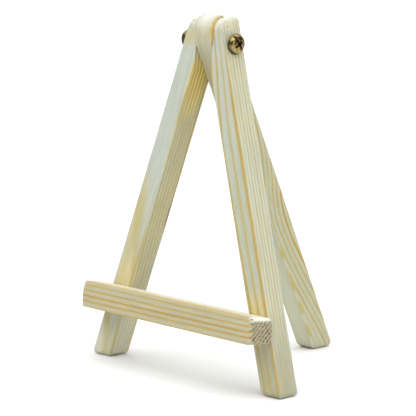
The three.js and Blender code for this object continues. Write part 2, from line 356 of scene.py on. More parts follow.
def shrink(length, across, out, seed):
    """A planed face is never quite flat: it lies up to 0.05 mm inside its true place."""
    broad = noise(length / 22, across / 6, out / 6, seed)
    fine = noise(length / 2.6, across / 1.1, out / 1.1, seed + 7)
    return 0.02 * (1 + broad) + 0.008 * fine


def sawn(x, y, seed):
    """Rough end left by a saw: fine scratches and torn fibres, in millimetres."""
    scratches = noise(x / 0.35 + y / 0.5, y / 2.5, 0.3, seed)
    torn = noise(x / 0.8, y / 0.8, 1.7, seed + 3)
    return 0.035 * scratches + 0.03 * torn


def foot_cut(x, y, z, seed):
    """A leg's level sawn end, just clear of the floor."""
    return -z + FLOOR_GAP + np.abs(sawn(x, y, seed))


def foot_edge(name, x, y, seed):
    """The worn radius around a leg's foot."""
    return FOOT_EDGES[name] * (1 + 0.2 * noise(x / 4, y / 4, 0, seed))


def screw_hole(y, z):
    """The hole that the screw goes through."""
    return from_pivot_axis(y, z) - SCREW_HOLE_RADIUS


def screw_seat(side, x, y, z):
    """The seat of the head in the right leg, or of the nut in the left one."""
    off_axis = from_pivot_axis(y, z)
    if side > 0:
        return np.maximum(off_axis - HEAD_SEAT_RADIUS, HEAD_SEAT - CONTACT - x)
    return np.maximum(off_axis - NUT_SEAT_RADIUS, x - NUT_SEAT - CONTACT)


def section_lines(low, high, high_band=1.3, plain_step=0.4):
    """Grid lines over one side of a strip's section and a little past it: fine in a band at both edges."""
    margin = 0.5
    low_band = 1.3
    edge_step = 0.2
    return graded((low - margin, edge_step), (low + low_band, plain_step), (high - high_band, edge_step),
                  high + margin)


def front_leg_axes(side):
    """A front leg's own axes: side is -1 for the left leg and 1 for the right one."""
    along = side * math.sin(SPREAD) * ACROSS + math.cos(SPREAD) * DOWN_PLANE
    across = side * math.cos(SPREAD) * ACROSS - math.sin(SPREAD) * DOWN_PLANE
    return Axes(PIVOT + side * FRONT_OFFSET * ACROSS, along, across, FRONT_OUT)


def front_leg(side, name, seed, material):
    """A front leg: mitred upright beside the knuckle, its top rounded, with its holes for screw and nail."""
    mitre_bend = 0.5
    top_back_radius = 0.7
    top_side_radius = 1.4
    axes = front_leg_axes(side)

    def field(length, across, out):
        x, y, z = axes.place(length, across, out)
        top = z - (PIVOT_HEIGHT + FRONT_TOP)
        front = rounded(out - FRONT_DEPTH / 2, top, FRONT_TOP_RADIUS)
        back = rounded(-out - FRONT_DEPTH / 2, top, top_back_radius)
        outer = rounded(across - FRONT_WIDTH / 2, top, top_side_radius)
        inner = blended(-across - FRONT_WIDTH / 2, MITRE - side * x, mitre_bend)
        body = rounded(np.maximum(outer, inner), np.maximum(front, back), worn(LONG_EDGE, length, seed))
        body = body + shrink(length, across, out, seed)
        body = rounded(body, foot_cut(x, y, z, seed), foot_edge(name, x, y, seed))
        body = without(body, screw_hole(y, z), SCREW_HOLE_RIM)
        body = without(body, screw_seat(side, x, y, z), SEAT_RIM)
        nail_side = np.hypot(length - NAIL_AT, across) - NAIL_HOLE_RADIUS
        nail_floor = out + FRONT_DEPTH / 2 - NAIL_HOLE_DEPTH
        return without(body, np.maximum(nail_side, nail_floor), NAIL_HOLE_RIM)

    # The stretches with close grid lines, down the leg.
    joint = (-13.5, 16)
    nail_hole = (NAIL_AT - 1.8, NAIL_AT + 1.8)
    foot = (FRONT_FOOT_AT - 6, FRONT_FOOT_AT + 6)
    plain_step = 2.2
    lines = (
        graded((joint[0], END_STEP), (joint[1], plain_step), (nail_hole[0], 0.3), (nail_hole[1], plain_step),
               (foot[0], END_STEP), foot[1]),
        section_lines(-FRONT_WIDTH / 2, FRONT_WIDTH / 2),
        section_lines(-FRONT_DEPTH / 2, FRONT_DEPTH / 2),
    )
    wooden(name, field, axes, lines, FIXED_BODY, material)


def rear_leg(name, seed, material):
    """The rear leg: a flat knuckle front, rounded over the top, and a foot with a round heel."""
    knuckle_bend = 0.4
    top_back_radius = 0.8
    axes = Axes(PIVOT, DOWN_REAR, ACROSS, REAR_OUT)

    def field(length, across, out):
        x, y, z = axes.place(length, across, out)
        top = z - (PIVOT_HEIGHT + REAR_TOP)
        knuckle = rounded(PIVOT_Y - KNUCKLE_FRONT - y, top, REAR_TOP_RADIUS)
        front = blended(out - REAR_DEPTH / 2, knuckle, knuckle_bend)
        back = -out - REAR_DEPTH / 2
        front_back = np.maximum(front, rounded(back, top, top_back_radius))
        body = rounded(np.abs(across) - REAR_WIDTH / 2, front_back, worn(LONG_EDGE, length, seed))
        body = body + shrink(length, across, out, seed)
        floor = foot_cut(x, y, z, seed)
        body = rounded(body, floor, foot_edge(name, x, y, seed))
        body = np.maximum(body, rounded(back, floor, HEEL_RADIUS))
        return without(body, screw_hole(y, z), SCREW_HOLE_RIM)

    # The stretches with close grid lines, down the leg.
    joint = (-15, 6)
    foot = (REAR_FOOT_AT - 7, REAR_FOOT_AT + 6)
    plain_step = 2.4
    lines = (
        graded((joint[0], END_STEP), (joint[1], plain_step), (foot[0], END_STEP), foot[1]),
        section_lines(-REAR_WIDTH / 2, REAR_WIDTH / 2),
        section_lines(-REAR_DEPTH / 2, REAR_DEPTH / 2),
    )
    wooden(name, field, axes, lines, SWINGING_BODY, material)


def ledge(name, seed, material):
    """The ledge bar: its top falls towards the legs, and its left end is sawn askew."""
    axes = Axes(PIVOT + DOWN_PLANE * PIVOT_UP, ACROSS, -DOWN_PLANE, FRONT_OUT)
    fall = math.atan((LEDGE_FRONT_HEIGHT - LEDGE_BACK_HEIGHT) / (LEDGE_FRONT - LEDGE_BACK))
    skew = math.atan(LEDGE_SKEW / (LEDGE_FRONT - LEDGE_BACK))

    def end_radius(length, across, out):
        """Both ends are worn most at their top edge, the left one more than the right one."""
        upper = fade(across, LEDGE_BOTTOM + 5, LEDGE_BOTTOM + 10)
        fore = fade(out, LEDGE_FRONT - 6, LEDGE_FRONT - 1)
        left = np.maximum(3.4 * upper, 1.1 * fore)
        right = np.maximum(2.0 * upper, 1.4 * fore)
        uneven = 1 + 0.15 * noise(across / 4, out / 4, length / 30, seed)
        return (0.4 + np.where(length > 0, right, left)) * uneven

    def field(length, across, out):
        top = across - LEDGE_BOTTOM - LEDGE_BACK_HEIGHT - math.tan(fall) * (out - LEDGE_BACK)
        height = np.maximum(top * math.cos(fall), LEDGE_BOTTOM - across)
        depth = np.maximum(out - LEDGE_FRONT, LEDGE_BACK - out)
        body = rounded(height, depth, worn(LONG_EDGE, length + 100, seed))
        body = body + shrink(length, across, out, seed)
        left = (LEDGE_LEFT - math.tan(skew) * (LEDGE_FRONT - out) - length) * math.cos(skew)
        rough = 1.6 * np.abs(sawn(across + 0.6 * out, out - 0.6 * across, seed))
        ends = np.maximum(left, length - LEDGE_RIGHT) + rough
        return rounded(body, ends, end_radius(length, across, out))

    # The stretches with close grid lines, along the bar.
    left_end = (LEDGE_LEFT - LEDGE_SKEW - 0.6, LEDGE_LEFT + 3)
    right_end = (LEDGE_RIGHT - 4, LEDGE_RIGHT + 0.6)
    end_step = 0.25
    plain_step = 2.2
    lines = (
        graded((left_end[0], end_step), (left_end[1], plain_step), (right_end[0], end_step), right_end[1]),
        section_lines(LEDGE_BOTTOM, LEDGE_TOP, high_band=3.6, plain_step=0.35),
        section_lines(LEDGE_BACK, LEDGE_FRONT),
    )
    wooden(name, field, axes, lines, FIXED_BODY, material)


# ---- metal ----

SCREW_AXES = Axes(PIVOT, [1, 0, 0], [0, 1, 0], [0, 0, 1])


def metal(name, vertices, faces, node, material):
    """A metal piece on the pivot's axis; the material reads its vertices' places on its own axes."""
    piece = mesh_object(name, np.stack(SCREW_AXES.place(*vertices.T), 1), faces)
    store(piece, "grain", vertices, "FLOAT_VECTOR")
    stand_for(piece, node, FIXED_BODY, material)


def screw_head(material):
    """Pan head: low dome, combined slot and cross recess."""
    rim_radius = 1.3
    half_slot = 0.65
    slot_depth = 1.3
    half_cross = 0.6
    cross_depth = 1.9
    cross_reach = 2.4
    slot_taper = 0.05
    cross_taper = 0.5
    turn_y = math.sin(SLOT_TURN)
    turn_z = math.cos(SLOT_TURN)

    def field(x, y, z):
        radius = np.hypot(y, z)
        crown = np.sqrt(radius**2 + (x - HEAD_CROWN + HEAD_DOME_RADIUS) ** 2) - HEAD_DOME_RADIUS
        head = rounded(radius - HEAD_RADIUS, crown, rim_radius)
        head = rounded(head, HEAD_SEAT - x, 0.15)
        along_slot = np.abs(-y * turn_y + z * turn_z)
        off_slot = np.abs(y * turn_z + z * turn_y)
        depth = HEAD_CROWN - x
        slot = np.maximum(off_slot - half_slot + slot_taper * depth, depth - slot_depth)
        reach = cross_reach - cross_taper * depth
        one_arm = np.maximum(along_slot - half_cross, off_slot - reach)
        other_arm = np.maximum(off_slot - half_cross, along_slot - reach)
        cross = np.maximum(np.minimum(one_arm, other_arm), depth - cross_depth)
        return without(head, np.minimum(slot, cross), 0.1)

    fine = np.arange(-4.4, 4.41, 0.11)
    lines = (np.arange(HEAD_SEAT - 0.3, HEAD_CROWN + 0.3, 0.09), fine, fine)
    metal("screw_head", *surface(field, lines), "pivot_screw", material)


def screw_thread(material):
    """Shank from the head to the flush end past the nut, with its rolled thread and a chamfered tip."""
    tip_chamfer = 0.7
    rows_per_turn = 9
    around = 48
    rows = round((HEAD_SEAT - SCREW_END) / THREAD_PITCH * rows_per_turn)
    x = np.linspace(SCREW_END, HEAD_SEAT, rows)
    angle = np.arange(around) * 2 * math.pi / around
    phase = (x[:, None] / THREAD_PITCH - angle[None, :] / (2 * math.pi)) % 1
    groove = np.clip(np.abs(phase - 0.5) * 2.4 - 0.15, 0, 1)
    tip = x[:, None] - SCREW_END + SCREW_RADIUS - tip_chamfer
    radius = np.minimum(SCREW_RADIUS - THREAD_DEPTH * groove, tip)
    across = radius * np.cos(angle)
    up = radius * np.sin(angle)
    rings = np.stack([np.repeat(x, around), across.ravel(), up.ravel()], 1)
    ends = np.array([[SCREW_END, 0, 0], [HEAD_SEAT, 0, 0]])
    last_ring = (rows - 1) * around
    tip_centre = rows * around
    head_centre = tip_centre + 1
    faces = []
    for row in range(rows - 1):
        for k in range(around):
            here = row * around + k
            beside = row * around + (k + 1) % around
            faces.append([here, beside, beside + around, here + around])
    for k in range(around):
        beside = (k + 1) % around
        faces.append([tip_centre, beside, k])
        faces.append([head_centre, last_ring + k, last_ring + beside])
    vertices = np.concatenate([rings, ends])
    metal("screw_thread", vertices, np.array(faces, dtype=object), "pivot_screw", material)


def hex_nut(material):
    """Hexagon nut: its corners cut by a cone, its bore countersunk at both faces."""
    half = NUT_ACROSS_FLATS / 2
    edge_radius = 0.08
    bore_radius = 2.06
    sink = 0.36
    sink_depth = 0.35

    def field(x, y, z):
        radius = np.hypot(y, z)
        flats = np.abs(y)
        for turn in (math.pi / 3, -math.pi / 3):
            flats = np.maximum(flats, np.abs(y * math.cos(turn) + z * math.sin(turn)))
        faces = np.maximum(NUT_FACE - x, x - NUT_SEAT)
        body = rounded(flats - half, faces, edge_radius)
        cone = (radius - half + 0.3 + faces) * 0.707
        body = rounded(body, cone, edge_radius)
        bore = radius - bore_radius - sink * fade(-faces, sink_depth, 0)
        return without(body, bore, 0.05)

    fine = np.arange(-4.3, 4.31, 0.12)
    lines = (np.arange(NUT_FACE - 0.3, NUT_SEAT + 0.3, 0.1), fine, fine)
    metal("hex_nut_looks", *surface(field, lines), "hex_nut", material)


# ---- materials ----


class Graph:
    """A material's nodes, made and joined by short calls."""

    def __init__(self, name):
        self.material = bpy.data.materials.new(name)
        self.material.use_nodes = True
        self.tree = self.material.node_tree
        self.shader = self.tree.nodes["Principled BSDF"]

    def node(self, kind, **settings):
        made = self.tree.nodes.new(kind)
        for key, value in settings.items():
            setattr(made, key, value)
        return made

    def put(self, socket, value):
        """Joins an output to a socket, or sets a plain value on it."""
        if isinstance(value, bpy.types.NodeSocket):
            self.tree.links.new(value, socket)
        elif value is not None:
            socket.default_value = value

    def shade(self, **sockets):
        """Sets the shader's sockets, named with _ for a space, and gives the material."""
        for name, value in sockets.items():
            self.put(self.shader.inputs[name.replace("_", " ")], value)
        return self.material

    def attribute(self, name, output="Fac"):
        return self.node("ShaderNodeAttribute", attribute_name=name).outputs[output]

    def math(self, operation, a, b=None, c=None, clamp=False):
        made = self.node("ShaderNodeMath", operation=operation, use_clamp=clamp)
        for socket, value in zip(made.inputs, (a, b, c)):
            self.put(socket, value)
        return made.outputs[0]

    def swing(self, wave, by, around):
        """A value that a noise moves up and down around a middle one."""
        return self.math("MULTIPLY_ADD", self.math("SUBTRACT", wave, 0.5), by, around)

    def vector(self, operation, a, b=None):
        made = self.node("ShaderNodeVectorMath", operation=operation)
        self.put(made.inputs[0], a)
        self.put(made.inputs[1], b)
        return made.outputs["Value" if operation in ("DOT_PRODUCT", "LENGTH") else "Vector"]

    def parts(self, vector):
        """The three numbers of a vector."""
        made = self.node("ShaderNodeSeparateXYZ")
        self.put(made.inputs[0], vector)
        return made.outputs

    def threefold(self, value):
        """A grey colour, or a vector, with the same value three times."""
        made = self.node("ShaderNodeCombineColor")
        for socket in made.inputs[:3]:
            self.put(socket, value)
        return made.outputs[0]

    def noise(self, coordinates, scale, detail, roughness):
        made = self.node("ShaderNodeTexNoise")
        self.put(made.inputs["Vector"], coordinates)
        made.inputs["Scale"].default_value = scale
        made.inputs["Detail"].default_value = detail
        made.inputs["Roughness"].default_value = roughness
        return made.outputs["Fac"]

    def lumps(self, place, long, wide, detail=1.0, roughness=0.5):
        """Noise from 0 to 1 whose lumps are so long along the piece and so wide, in millimetres."""
        stretched = self.vector("MULTIPLY", place, (1 / long, 1 / wide, 1 / wide))
        return self.noise(stretched, 1.0, detail, roughness)

    def ramp(self, value, *stops):
        made = self.node("ShaderNodeValToRGB")
        elements = made.color_ramp.elements
        while len(elements) < len(stops):
            elements.new(0.5)
        for element, (position, shade) in zip(elements, stops):
            element.position = position
            element.color = (*shade, 1)
        self.put(made.inputs[0], value)
        return made.outputs["Color"]

    def grey_ramp(self, value, *stops):
        return self.ramp(value, *((position, (level, level, level)) for position, level in stops))

    def mix(self, share, a, b, blend="MIX"):
        made = self.node("ShaderNodeMix", data_type="RGBA", blend_type=blend)
        self.put(made.inputs["Factor"], share)
        self.put(made.inputs["A"], a if isinstance(a, bpy.types.NodeSocket) else (*a, 1))
        self.put(made.inputs["B"], b if isinstance(b, bpy.types.NodeSocket) else (*b, 1))
        return made.outputs["Result"]

    def bump(self, height, distance, strength):
        made = self.node("ShaderNodeBump")
        made.inputs["Strength"].default_value = strength
        made.inputs["Distance"].default_value = distance
        self.put(made.inputs["Height"], height)
        return made.outputs["Normal"]


# Pine, as linear colours.
EARLYWOOD = (0.395, 0.435, 0.38)
EARLYWOOD_WARM = (0.45, 0.42, 0.24)
LATEWOOD = (0.39, 0.315, 0.12)
LATEWOOD_DEEP = (0.38, 0.24, 0.045)
END_PALE = (0.40, 0.39, 0.27)
END_DARK = (0.12, 0.075, 0.025)

# Colours of the spots and marks on the strips, among them painted highlight, painted light and painted bounce
# light.
# Painted highlight: near white, where the light from above bleaches the tops and the top edges.
PAINTED_HIGHLIGHT_WHITE = (0.66, 0.66, 0.62)
# Painted light: lifts the shade that the floor and the ledge cast on the left leg's foot.
PAINTED_LIGHT_PALE = (0.56, 0.55, 0.44)
# Painted light: pale grey-green, lifts the shade on the rear leg's front face.
PAINTED_LIGHT_SAGE = (0.60, 0.66, 0.52)
GREY = (0.27, 0.28, 0.22)
SIDE = (0.36, 0.37, 0.23)
BISQUE = (0.37, 0.335, 0.22)
TAN = (0.46, 0.40, 0.21)
HONEY = (0.42, 0.37, 0.15)
STRAW = (0.40, 0.32, 0.09)
AMBER = (0.82, 0.62, 0.17)
# Painted bounce light: the warm light that the ledge's top throws onto the legs' fronts just above it.
PAINTED_BOUNCE_GLOW = (0.68, 0.52, 0.21)
ORANGE = (0.50, 0.34, 0.09)
DEEP_ORANGE = (0.62, 0.40, 0.09)
OLIVE = (0.30, 0.26, 0.12)
TIP = (0.42, 0.31, 0.07)
RUST = (0.17, 0.085, 0.03)

# The share of a year's ring at which its latewood is darkest, and the number of the ring drawn strong.
RING_PEAK = 0.9
STRONG_YEAR = 100


def year_rings(g, grain, shifted, end, seed, normal, spacing, start, warp, strong,
               hump=0.0, hump_at=60.0, hump_reach=(50.0, 50.0), hump_fade=1e6):
    """Sheets of latewood through a strip: how dark its ring is at each point, and that ring's own weight.

    normal is the rings' direction over the section, as (across, out). One ring's dark edge lies at start from
    the origin, and has strong added to its weight. The sheets rise by hump away from hump_at, within
    hump_reach before and after it, which dies away at hump_fade across the strip. They wander by warp.
    """
    length, sideways, _ = g.parts(grain)
    across, out = normal
    size = math.hypot(across, out)
    straight = g.vector("DOT_PRODUCT", grain, (0, across / size, out / size))

    past = g.math("SUBTRACT", length, hump_at)
    before = g.math("DIVIDE", g.math("MINIMUM", past, 0.0), hump_reach[0])
    after = g.math("DIVIDE", g.math("MAXIMUM", past, 0.0), hump_reach[1])
    squared = g.math("POWER", g.math("ABSOLUTE", g.math("ADD", before, after)), 2.0)
    flat = g.math("EXPONENT", g.math("MULTIPLY", squared, -1.0))
    risen = g.math("MULTIPLY", g.math("SUBTRACT", 1.0, flat), hump)
    risen = g.math("MULTIPLY", risen, g.math("MULTIPLY_ADD", sideways, -1 / hump_fade, 1.0))

    # The sheets wander slowly, shiver a little, and are torn up where they come out at a sawn end.
    ring = g.math("ADD", straight, risen)
    ring = g.swing(g.lumps(shifted, 55, 8, 2.0), 2 * warp, ring)
    ring = g.swing(g.lumps(shifted, 9, 2.2), 0.18, ring)
    torn = g.lumps(shifted, 1, 1 / 1.1, 3.0, 0.6)
    torn = g.math("MULTIPLY", g.math("SUBTRACT", torn, 0.5), end)
    ring = g.math("MULTIPLY_ADD", torn, 2.6, ring)

    years = g.math("DIVIDE", g.math("SUBTRACT", ring, start), spacing)
    years = g.math("ADD", years, STRONG_YEAR + RING_PEAK)
    year = g.math("FLOOR", years)
    pick = g.node("ShaderNodeTexWhiteNoise", noise_dimensions="2D")
    g.put(pick.inputs["Vector"], g.threefold(g.math("ADD", year, seed)))
    years_away = g.math("ABSOLUTE", g.math("SUBTRACT", year, STRONG_YEAR))
    is_strong = g.math("SUBTRACT", 1.0, years_away, clamp=True)
    weight = g.math("MULTIPLY_ADD", pick.outputs["Value"], 0.45, 0.45)
    weight = g.math("MULTIPLY_ADD", is_strong, strong, weight)
    # Latewood builds up through the year and ends sharply.
    late = g.grey_ramp(g.math("FRACT", years), (0.0, 0.03), (0.42, 0.0), (0.62, 0.22), (0.76, 0.85),
                       (RING_PEAK, 1.0), (0.95, 0.5), (1.0, 0.03))
    return late, weight


def warm_share(g, grain, shifted, warmth, warm_side):
    """How warm the earlywood is, in patches: warmth is its share at the joint and at the foot.

    warm_side adds its size to that along one side of the strip, the side of its sign.
    """
    length, sideways, _ = g.parts(grain)
    at_joint, at_foot = warmth
    # 0 down to the middle of a leg, 1 from just above its foot.
    down = g.math("MULTIPLY", g.math("SUBTRACT", length, 70.0), 1 / 60, clamp=True)
    warm = g.math("MULTIPLY_ADD", down, at_foot - at_joint, at_joint)
    beside = g.math("MULTIPLY_ADD", sideways, warm_side * 0.5, -1.4, clamp=True)
    beside = g.math("MULTIPLY", beside, g.math("MULTIPLY_ADD", down, -0.8, 1.0))
    warm = g.math("ADD", warm, g.math("MULTIPLY", beside, abs(warm_side)))
    patches = g.math("MULTIPLY_ADD", g.lumps(shifted, 48, 11), 2.4, -0.35, clamp=True)
    return g.math("MULTIPLY", warm, patches, clamp=True)


def streaked(g, colour, shifted, fibre):
    """Fine fibres and resin canals along the strip, over its colour."""
    streak = g.swing(fibre, 0.34, 1.0)
    streak = g.swing(g.lumps(shifted, 12, 0.5, 2.0, 0.6), 0.45, streak)
    colour = g.mix(1.0, colour, g.threefold(streak), "MULTIPLY")
    canal = g.grey_ramp(g.lumps(shifted, 2.4, 0.13, 0.0), (0.0, 0.0), (0.70, 0.0), (0.78, 1.0))
    return g.mix(g.math("MULTIPLY", canal, 0.22), colour, LATEWOOD)


def spotted(g, colour, grain, fibre, spots):
    """Lays soft-edged spots over a colour, each one (centre, reach, shade, share) on the strip's own axes."""
    for centre, reach, shade, share in spots:
        away = g.vector("LENGTH", g.vector("DIVIDE", g.vector("SUBTRACT", grain, centre), reach))
        away = g.swing(fibre, 0.5, away)
        cover = g.grey_ramp(away, (0.0, share), (0.45, 0.75 * share), (1.0, 0.0))
        colour = g.mix(cover, colour, shade)
    return colour


def pine(name, rings, contrast, warmth, seed, warm_side=0.0, end_dark=0.25, spots=(), marks=()):
    """Pine, whose rings are the values that year_rings takes.

    contrast is how plain the rings show on the sides, and end_dark how plain on the ends. The spots lie under
    the rings' lines, and the marks over everything.
    """
    g = Graph(name)
    grain = g.attribute("grain", "Vector")
    end = g.attribute("end_grain")
    shifted = g.vector("ADD", grain, (seed * 7.3, seed * 3.1, seed * 5.7))
    fibre = g.lumps(shifted, 7, 0.16, 2.0, 0.65)
    pores = g.lumps(shifted, 1.4, 0.22, 2.0, 0.7)

    late, weight = year_rings(g, grain, shifted, end, seed, **rings)
    along = g.math("MULTIPLY_ADD", g.lumps(shifted, 30, 5), 0.8, 0.55)
    plainness = g.math("MULTIPLY", along, contrast)
    strength = g.math("MULTIPLY", g.math("MULTIPLY", late, weight), plainness, clamp=True)

    base = g.mix(warm_share(g, grain, shifted, warmth, warm_side), EARLYWOOD, EARLYWOOD_WARM)
    base = spotted(g, base, grain, fibre, spots)
    line = g.mix(g.math("MULTIPLY_ADD", weight, 1.6, -0.8, clamp=True), LATEWOOD, LATEWOOD_DEEP)
    side = streaked(g, g.mix(strength, base, line), shifted, fibre)
    end_share = g.math("ADD", late, g.math("MULTIPLY", pores, 0.5))
    end_share = g.math("MULTIPLY", end_share, end_dark, clamp=True)
    colour = g.mix(end, side, g.mix(end_share, END_PALE, END_DARK))
    colour = spotted(g, colour, grain, fibre, marks)
    rubbed = g.math("MULTIPLY", g.attribute("edge"), 0.12)

    gloss = g.swing(fibre, 0.25, g.math("MULTIPLY_ADD", strength, -0.14, 0.60))
    relief = g.math("ADD", g.math("MULTIPLY", fibre, 0.7), g.math("MULTIPLY", strength, 0.5))
    relief = g.math("ADD", relief, g.math("MULTIPLY", g.math("MULTIPLY", pores, end), 2.2))
    return g.shade(
        Base_Color=g.mix(rubbed, colour, EARLYWOOD),
        Roughness=g.math("MULTIPLY_ADD", end, 0.2, gloss, clamp=True),
        Specular_IOR_Level=0.35,
        Normal=g.bump(relief, 0.00006, 0.8),
    )


def left_leg_pine():
    """Rings nearly level with the front, so it shows broad stripes and its inner side fine lines."""
    spots = [
        # A warm patch beside the nut, an amber inner side at the joint, and painted bounce light on the front
        # just above the ledge.
        ((-0.5, 2.5, 5.1), (5.5, 4.5, 3.4), TAN, 0.9),
        ((12, -5, 1), (22, 2.5, 8), AMBER, 0.9),
        ((84, 2.5, 5.1), (27, 6, 3), TAN, 0.7),
        ((108, -2, 5.1), (16, 9, 3), PAINTED_BOUNCE_GLOW, 0.7),
    ]
    marks = [
        # The inner front edge, from the joint down, with a stripe and a thin line beside it.
        ((64, -5, 5.2), (44, 0.9, 0.9), SIDE, 0.8),
        ((84, 1.2, 5.1), (24, 2.6, 2), HONEY, 0.55),
        ((93, -4.5, 5.1), (17, 0.8, 1.2), STRAW, 0.85),
        ((8, -5, 5.1), (17, 0.8, 0.9), ORANGE, 0.9),
        # A torn patch on the inner back edge.
        ((75, -5, -4.7), (9, 2, 1.3), RUST, 0.75),
        # Painted light that lifts the shade on the foot, a painted highlight on the top, and darker edges on
        # the foot.
        ((136, -5, 0), (28, 2.5, 8), PAINTED_LIGHT_PALE, 0.5),
        ((142, 3, 5), (16, 6, 3), PAINTED_LIGHT_PALE, 0.6),
        ((-8, 0, 0), (5, 8, 8), PAINTED_HIGHLIGHT_WHITE, 0.6),
        ((133, -4.8, 5.0), (24, 1.1, 1.1), STRAW, 0.85),
        ((133, -5, -4.3), (17, 2, 0.7), ORANGE, 0.5),
    ]
    marks += [((12, -5, depth), (17, 2, 0.5), STRAW, 0.9) for depth in (4.3, 2.7, 1.1, -0.6, -2.4)]
    rings = dict(normal=(0.12, 1.0), spacing=1.75, start=6.25, warp=0.12, strong=-0.2,
                 hump=4.5, hump_at=30, hump_reach=(400, 105))
    return pine("pine_left", rings, 1.8, (0.1, 0.4), 1.0, warm_side=-0.9, spots=spots, marks=marks)


def right_leg_pine():
    """Rings askew to the front, one of them drawn as a strong line that bends down it."""
    spots = [
        # On the front, painted bounce light just above the ledge, a darker foot and a duller middle; then the
        # foot's grey side.
        ((110, -1, 5.1), (14, 9, 3), PAINTED_BOUNCE_GLOW, 0.9),
        ((134, 0, 5.1), (20, 9, 2), OLIVE, 0.6),
        ((75, 0, 5.1), (42, 9, 2), SIDE, 0.5),
        ((142, 5, 0), (38, 3, 10), GREY, 0.9),
    ]
    marks = [
        # A painted highlight on the top, a line on the foot, and two torn marks on the outer side above the
        # screw's head.
        ((-8, 0, 1), (7, 8, 7), PAINTED_HIGHLIGHT_WHITE, 0.6),
        ((133, 0.8, 5.1), (11, 1.2, 2), STRAW, 0.55),
        ((-5.2, 4.9, 1.7), (0.6, 1.0, 1.7), ORANGE, 0.8),
        ((-7.4, 4.9, 2.4), (1.2, 1.0, 0.5), ORANGE, 0.6),
    ]
    rings = dict(normal=(0.355, 0.935), spacing=1.56, start=6.40, warp=0.10, strong=0.35,
                 hump=-5.15, hump_at=45, hump_reach=(75, 290), hump_fade=6.5)
    return pine("pine_right", rings, 1.7, (0.35, 0.35), 2.0, spots=spots, marks=marks)


def rear_leg_pine():
    """Rings nearly level with the right side, humped, so that they draw a cathedral there."""
    spots = [
        # The paler front of the knuckle, and the duller right side.
        ((2, 0, 6), (14, 6, 3), EARLYWOOD, 0.7),
        ((100, 5, 0), (90, 1.5, 8), SIDE, 0.6),
    ]
    marks = [
        # A painted highlight on the crown, its orange right edge, and painted light, pale grey-green, that
        # lifts the shade on the front face.
        ((-10, 0, -1), (8, 6, 8), PAINTED_HIGHLIGHT_WHITE, 0.65),
        ((-9, 4.8, 3), (11, 0.7, 7), DEEP_ORANGE, 0.95),
        ((105, 0, 6.0), (80, 9, 1.6), PAINTED_LIGHT_SAGE, 0.75),
    ]
    # The tips of the cathedral grain, where its rings run out at the edge.
    marks += [((length, 4.7, 4.5), (4.5, 1.2, 1.4), TIP, 0.95) for length in (96.5, 112, 123.5, 135)]
    rings = dict(normal=(0.934, 0.358), spacing=0.84, start=3.45, warp=0.15, strong=0.6,
                 hump=3.94, hump_at=85, hump_reach=(26.8, 49))
    return pine("pine_rear", rings, 1.7, (0.85, 0.5), 3.0, spots=spots, marks=marks)


def ledge_pine():
    """Rings at half a right angle, so front and top show the same lines and the right end slanting ones."""
    spots = [
        # The upper left of the front, and the whole front.
        ((-43, 31, 16.9), (14, 2.2, 1.5), TAN, 0.7),
        ((0, 26, 16.9), (130, 14, 3), BISQUE, 0.8),
    ]
    marks = [
        # A painted highlight on the top, the line on its front edge, a painted highlight on the right end's
        # worn top edge, and a line down its worn front edge.
        ((0, 31.2, 9.8), (160, 1.3, 7.5), PAINTED_HIGHLIGHT_WHITE, 0.6),
        ((0, 32.05, 16.5), (110, 0.75, 1.3), ORANGE, 0.95),
        ((48.3, 31.4, 11), (2.2, 2.0, 12), PAINTED_HIGHLIGHT_WHITE, 0.9),
        ((48.4, 26, 16.7), (0.8, 9, 0.8), STRAW, 0.7),
    ]
    # Dark ends of the rings' lines on the right end's front edge.
    marks += [((48.0, height, 16.5), (0.8, 0.5, 1.3), RUST, 0.95) for height in (31.0, 29.3, 26.4, 23.9)]
    rings = dict(normal=(0.70, 0.714), spacing=1.55, start=30.3, warp=0.3, strong=0.3)
    return pine("pine_ledge", rings, 2.5, (0.75, 0.75), 4.0, end_dark=1.0, spots=spots, marks=marks)


def yellow_zinc():
    """Zinc plating passivated yellow: thin-film patches from straw to green and pink, with fine rubs."""
    # Dark brown for painted shade round the head's rim and for the darker recess.
    rim_shade_and_recess_dark = (0.06, 0.045, 0.02)
    bare_rub = (0.55, 0.50, 0.36)
    g = Graph("yellow_zinc_looks")
    place = g.attribute("grain", "Vector")
    film = g.noise(g.vector("MULTIPLY", place, (0.55, 0.42, 0.42)), 1.0, 3.0, 0.55)
    colour = g.ramp(
        film,
        (0.30, (0.16, 0.22, 0.07)), (0.42, (0.32, 0.28, 0.09)), (0.52, (0.42, 0.31, 0.09)),
        (0.60, (0.36, 0.20, 0.14)), (0.68, (0.26, 0.24, 0.16)), (0.78, (0.13, 0.22, 0.11)),
    )
    radius = g.vector("LENGTH", g.vector("MULTIPLY", place, (0, 1, 1)))
    # Painted shade and painted dark reflection round the head's rim, where it meets the wood; the slot and
    # cross are darker too.
    rim = g.math("MULTIPLY_ADD", radius, 2.2, -2.2 * (HEAD_RADIUS - 0.55), clamp=True)
    deep = g.math("MULTIPLY_ADD", g.parts(place)[0], -1.6, 1.6 * (HEAD_CROWN - 0.75), clamp=True)
    recess = g.math("MULTIPLY", deep, g.math("LESS_THAN", radius, HEAD_RADIUS - 0.9))
    rubs = g.noise(g.vector("MULTIPLY", place, (3.0, 9.0, 9.0)), 1.0, 4.0, 0.7)
    dull = g.grey_ramp(rubs, (0.0, 0.0), (0.52, 0.0), (0.75, 1.0))
    colour = g.mix(g.math("MULTIPLY", dull, 0.35), colour, bare_rub)
    return g.shade(
        Base_Color=g.mix(g.math("MULTIPLY", g.math("MAXIMUM", rim, recess), 0.75), colour, rim_shade_and_recess_dark),
        Metallic=1.0,
        Roughness=g.math("MULTIPLY_ADD", rubs, 0.22, 0.13),
        Normal=g.bump(rubs, 0.00002, 0.5),
    )


